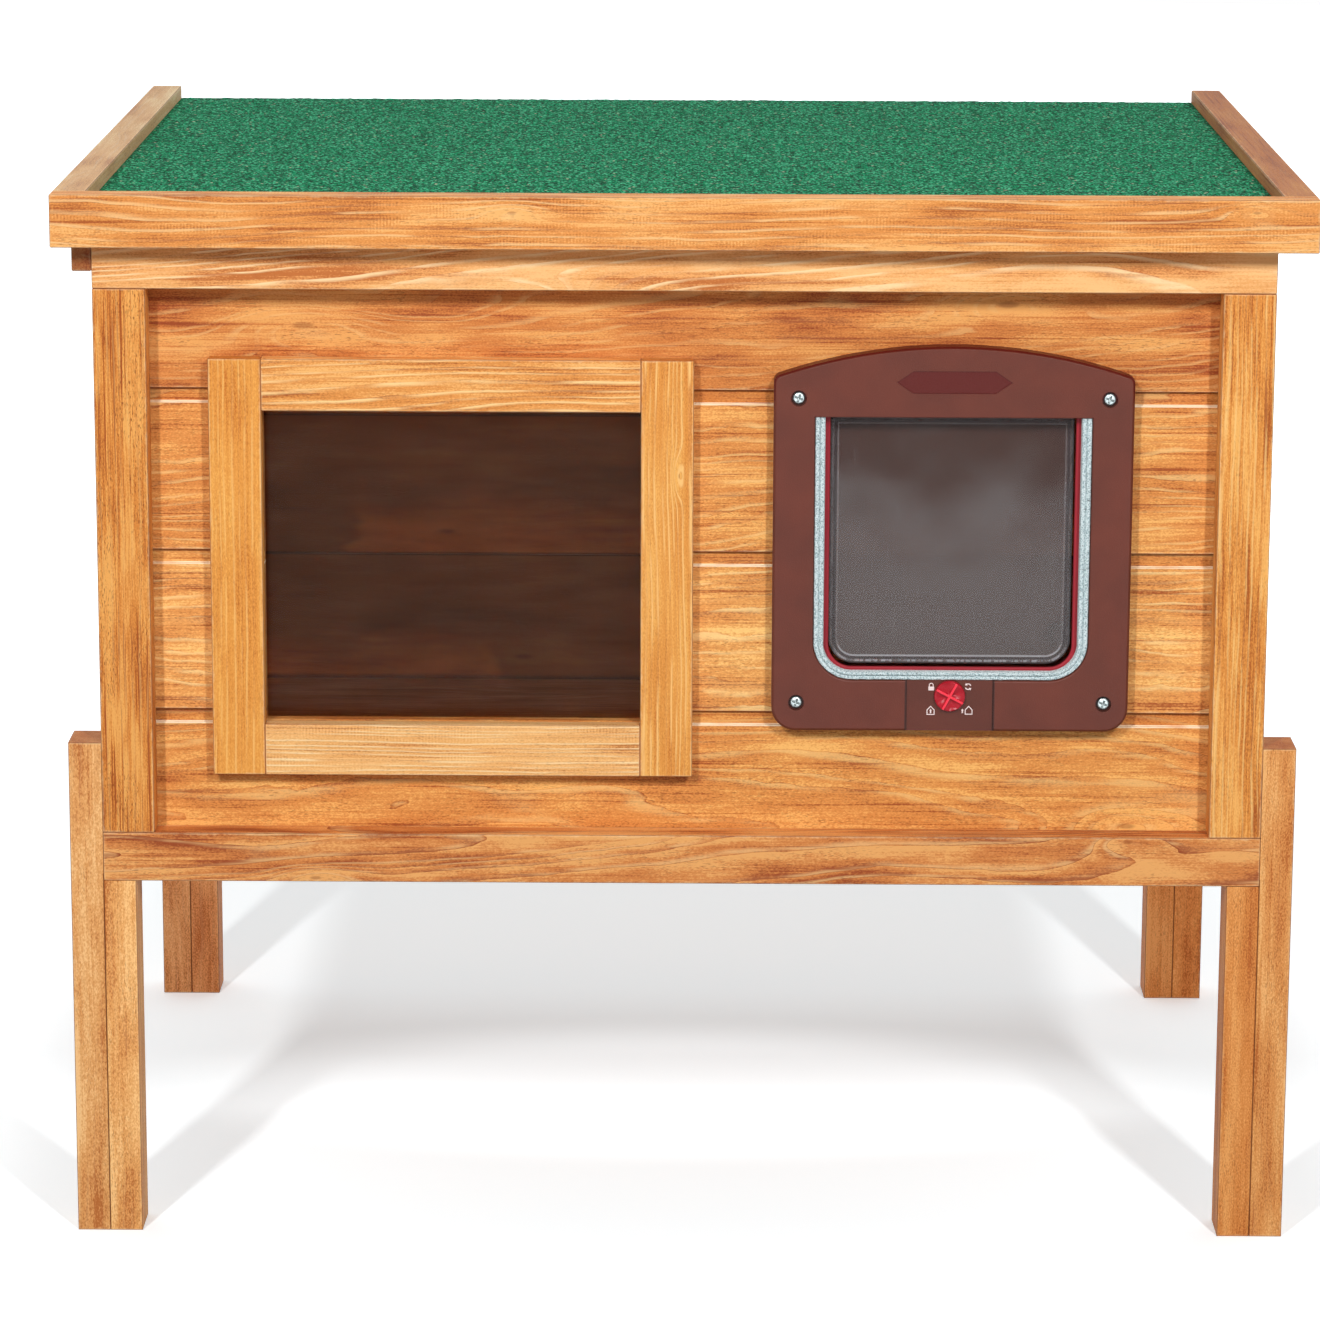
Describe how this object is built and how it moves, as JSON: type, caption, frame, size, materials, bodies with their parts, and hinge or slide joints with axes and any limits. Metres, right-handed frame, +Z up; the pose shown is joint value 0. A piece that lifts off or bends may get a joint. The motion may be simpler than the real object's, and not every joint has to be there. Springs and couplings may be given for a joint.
{
  "type": "heated cat house",
  "caption": "Raised timber cat house with insulated walls, heating mat, hinged felted roof, fixed window and a lockable swinging cat flap.",
  "frame": {"origin": "on the ground under the middle of the roof", "axes": "+X to the right seen from the front, +Y towards the back, +Z up"},
  "size_m": [0.827, 0.659, 0.7136],
  "materials": {
    "frame_timber": "stained honey orange, planed",
    "wall_boards": "stained honey orange, planed",
    "window_timber": "stained honey orange, coarse grain",
    "leg_timber": "stained honey orange, sawn",
    "lining_boards": "bare pine",
    "structural_board": "bare board",
    "insulation_foam": "expanded foam",
    "heating_foil": "matte foil",
    "window_acrylic": "clear",
    "flap_acrylic": "clear, slightly smoked",
    "brown_plastic": "fine textured",
    "pile_seal": "woven pile",
    "lip_seal": "satin",
    "red_plastic": "gloss",
    "mineral_felt": "green slate granules on felt",
    "grommet_rubber": "matte",
    "zinc_steel": "bright zinc"
  },
  "bodies": {
    "house": {"front_left_stile": "frame_timber", "front_right_stile": "frame_timber", "front_top_rail": "frame_timber", "front_bottom_rail": "frame_timber", "back_frame": "frame_timber", "left_frame": "frame_timber", "right_frame": "frame_timber", "front_plank_1": "wall_boards", "front_plank_2": "wall_boards", "front_plank_3": "wall_boards", "front_plank_4": "wall_boards", "back_planks": "wall_boards", "left_planks": "wall_boards", "right_planks": "wall_boards", "wall_insulation": "insulation_foam", "front_lining": "lining_boards", "back_lining": "lining_boards", "left_lining": "lining_boards", "right_lining": "lining_boards", "base_board": "structural_board", "heating_mat": "heating_foil", "floor_boards": "lining_boards", "window_left_stile": "window_timber", "window_right_stile": "window_timber", "window_top_rail": "window_timber", "window_bottom_rail": "window_timber", "window_pane": "window_acrylic", "window_beads": "lining_boards", "flap_outer_frame": "brown_plastic", "flap_tunnel": "brown_plastic", "flap_inner_frame": "brown_plastic", "flap_brush_seal": "pile_seal", "flap_red_lip": "lip_seal", "flap_screws": "zinc_steel", "left_side_batten": "frame_timber", "front_left_leg": "leg_timber", "front_right_leg": "leg_timber", "back_left_leg": "leg_timber", "back_right_leg": "leg_timber", "leg_screws": "zinc_steel", "cable_grommet": "grommet_rubber", "hinge_wall_leaves": "zinc_steel", "hinge_pins": "zinc_steel", "hinge_wall_screws": "zinc_steel"},
    "roof_lid": {"roof_panel": "structural_board", "roof_felt": "mineral_felt", "roof_front_fascia": "frame_timber", "roof_left_strip": "frame_timber", "roof_right_strip": "frame_timber", "roof_insulation": "insulation_foam", "roof_lining": "lining_boards", "hinge_roof_leaves": "zinc_steel", "hinge_roof_screws": "zinc_steel"},
    "cat_flap": {"flap_pane": "flap_acrylic"},
    "lock": {"lock_dial": "red_plastic", "lock_cams": "red_plastic"}
  },
  "joints": [
    {"name": "roof_hinge", "type": "hinge", "parent": "house", "child": "roof_lid", "pos_m": [0, 0.3064, 0.6809], "axis": [-1, 0, 0], "range_deg": [0, 95]},
    {"name": "flap_swing", "type": "hinge", "parent": "house", "child": "cat_flap", "pos_m": [0.17905, -0.2805, 0.5625], "axis": [1, 0, 0], "range_deg": [-80, 80]},
    {"name": "lock_turn", "type": "hinge", "parent": "house", "child": "lock", "pos_m": [0.17905, -0.29, 0.3753], "axis": [0, 1, 0], "range_deg": [0, 270]}
  ]
}
